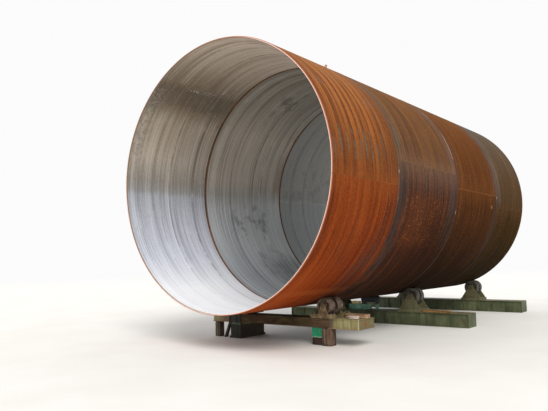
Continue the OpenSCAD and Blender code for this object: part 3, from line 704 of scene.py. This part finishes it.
def roll_paint(name, seed, warm=0.0):
    """Olive green turning roll, with a dusty top, brown patches and faint runs; warm is how brown it is."""
    paint = Paint(name, seed)
    tone = paint.blend((paint.runs(12, 1.2, 6.0), 0.45), (paint.cloud(1.8, detail=5.0, shift=15.0), 0.55))
    paint.colour = paint.ramp(tone, 1, (0.36, 56, 62, 42), (0.50, 78, 84, 58), (0.62, 98, 104, 74))
    paint.cover((118, 104, 76), warm)
    paint.cover((136, 116, 80), 0.65, paint.step(paint.facing()[2], 0.5, 0.9),
                paint.step(paint.cloud(5.0, 5.0), 0.36, 0.60))
    paint.patches((84, 60, 40), 0.7, 7.0, 0.58, 0.68, 7.0, shift=5.0)
    return finish_steel(paint)


def drive_paint():
    """Teal gear housing, a yellowish guard and a grey motor, all of them dusty."""
    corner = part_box("mid_drive")[0]
    bed_top, guard_end = 0.14, 0.34
    paint = Paint("drive_paint", 12.0, (108, 150, 128))
    paint.patches((140, 178, 152), 1.0, 9.0, 0.4, 0.62)
    above = paint.step(paint.minus(paint.z, corner.z), bed_top + 0.001, bed_top + 0.004)
    guard = paint.step(paint.minus(paint.x, corner.x), guard_end + 0.01, guard_end)
    paint.cover((236, 208, 150), 1.0, above, guard)
    paint.cover((70, 74, 74), 1.0, above, paint.less(guard, 1.0))
    add_rust(paint, -0.02)
    return finish_steel(paint)


def add_object(name, data):
    made = bpy.data.objects.new(name, data)
    bpy.context.scene.collection.objects.link(made)
    return made


class Shape:
    """A mesh built up from simple solids, in the row frame."""

    def __init__(self):
        self.mesh = bmesh.new()

    def prism(self, base, axis, radius, height, sides, top=1.0):
        """A prism that stands on base and points along axis; top is the size of its far end as a share."""
        made = bmesh.ops.create_cone(self.mesh, cap_ends=True, segments=sides, radius1=radius,
                                     radius2=radius * top, depth=height)
        turn = Vector(axis).to_track_quat("Z", "X").to_matrix().to_4x4()
        place = Matrix.Translation(base) @ turn @ Matrix.Translation((0, 0, height / 2))
        bmesh.ops.transform(self.mesh, matrix=place, verts=made["verts"])

    def bolt(self, base, axis, thread):
        """A washer, a hexagon nut with its chamfer and the end of the bolt. Each has its radius and its
        height as shares of the thread, its sides and its taper."""
        parts = (1.05, 0.18, 24, 1.0), (0.88, 0.64, 6, 1.0), (0.88, 0.16, 6, 0.88), (0.5, 0.3, 16, 0.85)
        for radius, height, sides, top in parts:
            self.prism(base, axis, thread * radius, thread * height, sides, top)
            base = base + Vector(axis) * thread * height

    def bolt_ring(self, centre, axis, radius, count, thread):
        """Bolts on a circle in the XZ plane."""
        for k in range(count):
            angle = 2 * math.pi * (k + 0.5) / count
            self.bolt(centre + Vector((math.cos(angle), 0, math.sin(angle))) * radius, axis, thread)

    def box(self, low, high, place, bevel=0.0):
        """A box between two corners, moved to place."""
        low, high = Vector(low), Vector(high)
        made = bmesh.ops.create_cube(self.mesh, size=1.0)
        fit = place @ Matrix.Translation((low + high) / 2) @ Matrix.Diagonal((*(high - low), 1.0))
        bmesh.ops.transform(self.mesh, matrix=fit, verts=made["verts"])
        if bevel:
            edges = list({edge for vertex in made["verts"] for edge in vertex.link_edges})
            bmesh.ops.bevel(self.mesh, geom=edges, offset=bevel, segments=2, affect="EDGES")

    def finish(self, name, material, body):
        data = bpy.data.meshes.new(name)
        self.mesh.to_mesh(data)
        self.mesh.free()
        data.materials.append(material)
        made = add_object(name, data)
        bpy.context.view_layer.update()
        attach(made, body)
        return made


class Timber(Shape):
    """A sawn timber with rounded edges, grooves along its grain and rough ends."""

    EDGE, GROOVE = 0.009, 0.005
    # The size of a face, and how often the grooves change in a metre, along the grain and across it
    FACE_ALONG, FACE_ACROSS = 0.06, 0.013
    OFTEN_ALONG, OFTEN_ACROSS, WAVES = 1.2, 26.0, 3.0

    def __init__(self, low, high, grain, seed):
        super().__init__()
        self.low, self.high = Vector(low), Vector(high)
        self.grain = "XYZ".index(grain)
        self.seed = seed
        size = self.high - self.low
        faces = self.by_grain(self.FACE_ALONG, self.FACE_ACROSS)
        self.counts = [max(2, round(size[axis] / faces[axis])) for axis in range(3)]
        for axis in range(3):
            for side in (0, 1):
                self.face(axis, side)
        bmesh.ops.remove_doubles(self.mesh, verts=self.mesh.verts, dist=0.0005)
        bmesh.ops.recalc_face_normals(self.mesh, faces=self.mesh.faces)
        for polygon in self.mesh.faces:
            polygon.smooth = True

    def by_grain(self, along, across):
        """Three values, one for each axis: along where the grain runs, across for the others."""
        return [along if axis == self.grain else across for axis in range(3)]

    def face(self, axis, side):
        """One side of the timber as a grid of four-sided faces."""
        first, second = [other for other in range(3) if other != axis]
        rows = []
        for i in range(self.counts[first] + 1):
            row = []
            for j in range(self.counts[second] + 1):
                share = [0.0, 0.0, 0.0]
                share[axis] = side
                share[first] = i / self.counts[first]
                share[second] = j / self.counts[second]
                row.append(self.mesh.verts.new(self.worn(share)))
            rows.append(row)
        for i in range(self.counts[first]):
            for j in range(self.counts[second]):
                self.mesh.faces.new((rows[i][j], rows[i + 1][j], rows[i + 1][j + 1], rows[i][j + 1]))

    def worn(self, share):
        """A point of the sharp box, as shares of its size, moved in by the round edge and the grooves."""
        size = self.high - self.low
        point = Vector([self.low[axis] + share[axis] * size[axis] for axis in range(3)])
        core = Vector([min(max(point[axis], self.low[axis] + self.EDGE), self.high[axis] - self.EDGE)
                       for axis in range(3)])
        often = self.by_grain(self.OFTEN_ALONG, self.OFTEN_ACROSS)
        spot = Vector([point[axis] * often[axis] + self.seed * 3.7 for axis in range(3)])
        groove = max(0.0, noise.noise(spot) + 0.15) * self.GROOVE
        wave = (noise.noise(point * self.WAVES + Vector((self.seed, 0, 0))) + 1.0) * 0.5 * self.GROOVE
        return core + (point - core).normalized() * (self.EDGE - groove - wave * 0.5)


def add_timbers():
    """Rough timbers in the place of the plain ones."""
    low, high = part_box("near_cross_beam")
    # A reddish stain near the right end of the beam, and a darker patch over its left part that is painted
    # shade of the shell
    stains_and_shade = ((high.x - 0.16, 0.18, 0.22, 0.7, (88, 64, 52)), (low.x + 0.55, 0.40, 0.30, 0.8, (72, 50, 40)))
    whole = (
        ("beam_timber", "near_cross_beam", "X", "timber_across", (104, 90, 56), (52, 42, 28), 1.0, stains_and_shade),
        ("right_timber", "near_right_timber", "Z", "timber_upright", (122, 98, 80), (56, 46, 38), 2.0, ()),
        ("left_post_timber", "near_left_post", "Z", "timber_post", (116, 106, 90), (52, 46, 38), 2.5, ()),
        ("block_base_timber", "near_right_block_base", "X", "timber_dark", (70, 54, 48), (36, 28, 25), 3.0,
         ()),
        ("plank_timber", "mid_right_plank", "X", "timber_orange", (156, 118, 66), (92, 64, 38), 5.0, ()))
    for number, (name, node, grain, look, pale, dark, seed, marks) in enumerate(whole, 1):
        material = timber_paint(look, pale, dark, grain, seed, stains_and_shade=marks)
        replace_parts(Timber(*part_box(node), grain, number).finish(name, material, "stands"), node)


def add_boards():
    """The two pieces that lie on the right packing box: a long timber behind a short block."""
    low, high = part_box("near_right_boards")
    timber_depth, block_size, block_x = 0.15, Vector((0.24, 0.09, 0.0675)), 0.18
    pale = timber_paint("timber_pale", (172, 140, 108), (112, 86, 64), "X", 4.0, 0.35)
    white = timber_paint("timber_whitened", (212, 194, 182), (160, 142, 130), "X", 6.0, 0.2)
    long_board = Timber((low.x, high.y - timber_depth, low.z), high, "X", 6)
    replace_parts(long_board.finish("board_long", pale, "stands"), "near_right_boards")
    corner = Vector((low.x + block_x, low.y, low.z))
    Timber(corner, corner + block_size, "X", 7).finish("board_short", white, "stands")


def joint_place(name):
    return Vector(JOINTS[name]["pos_m"])


def axle_half(station, side):
    low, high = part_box("%s_%s_wheels" % (station, side))
    return (high.y - low.y) / 2


def bearing_face(station, side):
    """From the middle of a roller to the outer face of its bearing."""
    return axle_half(station, side) - AXLE_END


def add_near_bolts(side, material):
    """Bolts on the rails of a near bearing, between the ribs of its pedestals, and round the axle."""
    between_ribs, foot_out, foot_thread = 0.0525, 0.014, 0.011
    rail_places, rail_thread = (-0.21, 0.21, 0.29), 0.020
    cap_ring, cap_bolts, cap_thread = 0.047, 6, 0.008
    centre = joint_place("near_%s_roller_turn" % side)
    outward = 1 if side == "right" else -1
    rail_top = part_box("near_%s_bearings" % side)[0].z + RAIL_TOP
    face = bearing_face("near", side)
    shape = Shape()
    for end in (-1, 1):
        foot_y = centre.y + end * (face + foot_out)
        for x in (-between_ribs, 0.0, between_ribs):
            shape.bolt(Vector((centre.x + x, foot_y, rail_top + FOOT_T)), UP, foot_thread)
        rail_y = centre.y + end * (face - NEAR_PEDESTAL + RAIL_W / 2)
        for x in rail_places:
            shape.bolt(Vector((centre.x + outward * x, rail_y, rail_top)), UP, rail_thread)
        shape.bolt_ring(centre + Vector((0, end * face, 0)), (0, end, 0), cap_ring, cap_bolts, cap_thread)
    shape.finish("near_%s_bearing_bolts" % side, material, "stands")


def add_roll_bolts(station, side, material):
    """Bolts through the sole of a turning roll's bracket and round its bosses."""
    sole_places, sole_out, sole_thread = (-0.27, -0.09, 0.09, 0.27), 0.018, 0.016
    boss_ring, boss_bolts, boss_thread = 0.061, 6, 0.012
    centre = joint_place("%s_%s_roller_turn" % (station, side))
    sole_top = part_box("%s_%s_bracket" % (station, side))[0].z + ROLL_SOLE
    face = bearing_face(station, side)
    shape = Shape()
    for end in (-1, 1):
        sole_y = centre.y + end * (face - ROLL_BOSS + sole_out)
        for x in sole_places:
            shape.bolt(Vector((centre.x + x, sole_y, sole_top)), UP, sole_thread)
        shape.bolt_ring(centre + Vector((0, end * face, 0)), (0, end, 0), boss_ring, boss_bolts, boss_thread)
    shape.finish("%s_%s_bracket_bolts" % (station, side), material, "stands")


def add_wheel_bolts(station, side, material):
    """A ring of bolts on each outer wheel disc, and a keeper plate on each end of the axle."""
    ring, ring_bolts, thread = BOLT_RING_R[station], 8, 0.016
    keeper_r, keeper_t = ring * 0.26, 0.004
    keeper_bolts, keeper_thread = 3, 0.006
    name = "%s_%s_roller" % (station, side)
    centre = joint_place(name + "_turn")
    gap = NEAR_SIDE_CLEAR + (NEAR_PEDESTAL if station == "near" else ROLL_PLATE + ROLL_BOSS)
    disc = bearing_face(station, side) - gap - (WHEEL_W[station] - WEB_T) / 2
    shape = Shape()
    for end in (-1, 1):
        way = Vector((0, end, 0))
        shape.bolt_ring(centre + way * disc, way, ring, ring_bolts, thread)
        tip = centre + way * axle_half(station, side)
        shape.prism(tip, way, keeper_r, keeper_t, 32)
        shape.bolt_ring(tip + way * keeper_t, way, keeper_r / 2, keeper_bolts, keeper_thread)
    shape.finish(name + "_bolts", material, name)


def add_motor(material):
    """Cooling ribs and end caps on the drive's motor."""
    radius, length, rib_h, rib_t = 0.080, 0.56, 0.012, 0.005
    ribs, rib_start, rib_end = 28, 0.06, 0.46
    low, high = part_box("mid_drive")
    foot, along = Vector((high.x - length, (low.y + high.y) / 2, high.z - radius)), Vector((1, 0, 0))
    shape = Shape()
    for k in range(ribs):
        turned = Matrix.Translation(foot) @ Matrix.Rotation(2 * math.pi * k / ribs, 4, "X")
        shape.box((rib_start, radius - rib_h, -rib_t / 2), (rib_end, radius + rib_h, rib_t / 2), turned)
    for start, thickness, taper in ((0.02, 0.03, 1.0), (0.47, 0.07, 0.92)):
        shape.prism(foot + along * start, along, radius + rib_h, thickness, 48, taper)
    shape.finish("drive_motor_ribs", material, "stands")


def add_lug(material):
    """The small lug that stands on the top of the first course."""
    angle, along, sunk = math.radians(31.5), 1.95, 0.004
    half_width, half_length, height, rounding = 0.011, 0.030, 0.058, 0.004
    way = Vector((math.sin(angle), 0, math.cos(angle)))
    foot = Vector((0, RIM + along, AXIS_Z)) + way * (SHELL_R - sunk)
    place = Matrix.Translation(foot) @ way.to_track_quat("Z", "Y").to_matrix().to_4x4()
    shape = Shape()
    shape.box((-half_width, -half_length, 0.0), (half_width, half_length, height), place, rounding)
    shape.finish("top_lug", material, "shell")


def add_details():
    bolts = bolt_paint()
    for side in ("right", "left"):
        add_near_bolts(side, bolts)
        for station in ("mid", "far"):
            add_roll_bolts(station, side, bolts)
        for station in WHEEL_W:
            add_wheel_bolts(station, side, bolts)
    add_motor(worn_paint("motor_grey", (72, 76, 78), (56, 56, 52), 0.0, 8.0))
    add_lug(worn_paint("lug_pale", (196, 166, 130), (150, 118, 88), 0.0, 4.0))


def dress(node, material):
    data = frame["nodes"][node].data
    data.materials.clear()
    data.materials.append(material)
    for polygon in data.polygons:
        polygon.material_index = 0


def dress_shell():
    uppers = (course_1_upper, course_2_upper, course_3_upper, course_4_upper)
    lowers = (course_1_lower, course_2_lower, course_3_lower, course_4_lower)
    linings = (lining_1(), lining_2(), lining_deep(3), lining_deep(4))
    seams = (((108, 56, 26), (134, 76, 40)), ((98, 72, 52), (124, 92, 66)), ((98, 58, 26), (124, 76, 38)),
             ((72, 50, 28), (82, 60, 36)))
    for course, (upper, lower, lining, seam) in enumerate(zip(uppers, lowers, linings, seams), 1):
        dress("course_%d_upper_plate" % course, upper())
        dress("course_%d_lower_plate" % course, lower())
        dress("course_%d_lining" % course, lining)
        dress("course_%d_seams" % course, seam_paint(course, *seam))
    girths = (((84, 72, 60), (150, 140, 122), 82, 96, 89), ((82, 66, 58), (158, 136, 123), 48, 74, 103.5),
              ((80, 60, 40), (112, 96, 80), 50, 80, 92))
    for number, look in enumerate(girths, 1):
        dress("girth_weld_%d" % number, girth_paint("girth_%d" % number, *look))


def dress_stands():
    dusty = wheel_paint("dusty_wheel_steel", (56, 44, 36), (102, 84, 70), (146, 128, 112))
    dull = wheel_paint("dull_wheel_steel", (46, 43, 38), (80, 76, 67), (116, 110, 99))
    bearing = bearing_paint()
    # The inner ends of the packing boxes are darkened by dirt and painted shadow of the shell
    for side, darkening, reach in (("right", (74, 58, 46), 0.14), ("left", (104, 80, 66), 0.25)):
        dress("near_%s_wheels" % side, dusty)
        dress("near_%s_bearings" % side, bearing)
        dress("near_%s_box" % side, packing_box_paint("near_%s_box" % side, darkening, reach))
    for station, seed in (("mid", 3.0), ("far", 6.0)):
        dress(station + "_base_frame", roll_paint("%s_frame_green" % station, seed))
        bracket = roll_paint("%s_bracket_green" % station, seed + 1.0, 0.4)
        for side in ("right", "left"):
            dress("%s_%s_wheels" % (station, side), dull)
            dress("%s_%s_bracket" % (station, side), bracket)
    dress("near_right_block", green_block_paint())
    dress("near_left_stack", stack_paint())
    dress("mid_drive", drive_paint())
    dress("near_left_wedge", timber_paint("timber_strut", (92, 78, 62), (46, 38, 30), "Z", 8.0))


def seen_rays(tree):
    """1 for rays from the camera, by way of gloss or glass too, and 0 for the light on the object."""
    path = tree.nodes.new("ShaderNodeLightPath")
    seen = path.outputs["Is Camera Ray"]
    for other in ("Is Glossy Ray", "Is Transmission Ray"):
        either = tree.nodes.new("ShaderNodeMath")
        either.operation = "MAXIMUM"
        tree.links.new(seen, either.inputs[0])
        tree.links.new(path.outputs[other], either.inputs[1])
        seen = either.outputs[0]
    return seen


def mix_shaders(tree, amount, first, second, output):
    """Send one shader to the output where amount is 0, and the other where it is 1."""
    mixed = tree.nodes.new("ShaderNodeMixShader")
    for socket, value in zip(mixed.inputs, (amount, first.outputs[0], second.outputs[0])):
        tree.links.new(value, socket)
    tree.links.new(mixed.outputs[0], tree.nodes[output].inputs["Surface"])


def add_floor():
    """A pale floor that turns into the white background far from the object."""
    reach, fade_start, fade_end = 150.0, 16.0, 60.0
    data = bpy.data.meshes.new("floor")
    corners = [(-reach, -reach, 0), (reach, -reach, 0), (reach, reach, 0), (-reach, reach, 0)]
    data.from_pydata(corners, [], [(0, 1, 2, 3)])
    paint = Paint("floor_pale", colour=(232, 228, 221))
    paint.patches((236, 233, 227), 1.0, 0.6, 0.3, 0.7, 3.0)
    data.materials.append(paint.finish(0.9))
    far = paint.step(paint.distance(paint.x, paint.y), fade_start, fade_end)
    glow = paint.node("Emission")
    glow.inputs["Color"].default_value = BACKGROUND
    amount = paint.times(far, seen_rays(paint.tree))
    mix_shaders(paint.tree, amount, paint.shader, glow, "Material Output")
    add_object("floor", data)


def add_sun(name, towards, strength, spread, colour):
    data = bpy.data.lights.new(name, "SUN")
    data.energy = strength
    data.angle = math.radians(spread)
    data.color = colour
    add_object(name, data).rotation_euler = Vector(towards).to_track_quat("-Z", "Y").to_euler()


def add_light():
    """A soft key from the front right above, and even light from all round."""
    add_sun("key", (-0.60, 0.62, -0.66), 2.3, 28, (1.0, 0.99, 0.97))
    add_sun("fill", (0.5, 0.6, -0.9), 0.35, 60, (0.95, 0.97, 1.0))
    world = bpy.data.worlds.new("studio")
    bpy.context.scene.world = world
    world.use_nodes = True
    tree = world.node_tree
    lit, seen = tree.nodes["Background"], tree.nodes.new("ShaderNodeBackground")
    lit.inputs["Color"].default_value = AMBIENT_COLOUR
    lit.inputs["Strength"].default_value = AMBIENT
    seen.inputs["Color"].default_value = BACKGROUND
    mix_shaders(tree, seen_rays(tree), lit, seen, "World Output")


def add_camera():
    data = bpy.data.cameras.new("camera")
    data.sensor_width = CAMERA_SENSOR
    data.lens = CAMERA_LENS
    data.clip_end = CAMERA_SIGHT
    camera = add_object("camera", data)
    camera.matrix_world = (Matrix.Translation(CAMERA_PLACE) @ Matrix.Rotation(CAMERA_TURN, 4, "Z")
                           @ Matrix.Rotation(math.pi / 2 + CAMERA_PITCH, 4, "X")
                           @ Matrix.Rotation(CAMERA_ROLL, 4, "Z"))
    bpy.context.scene.camera = camera


add_camera()
dress_shell()
dress_stands()
add_timbers()
add_boards()
add_details()
add_floor()
add_light()
bpy.context.scene.view_settings.view_transform = "Standard"
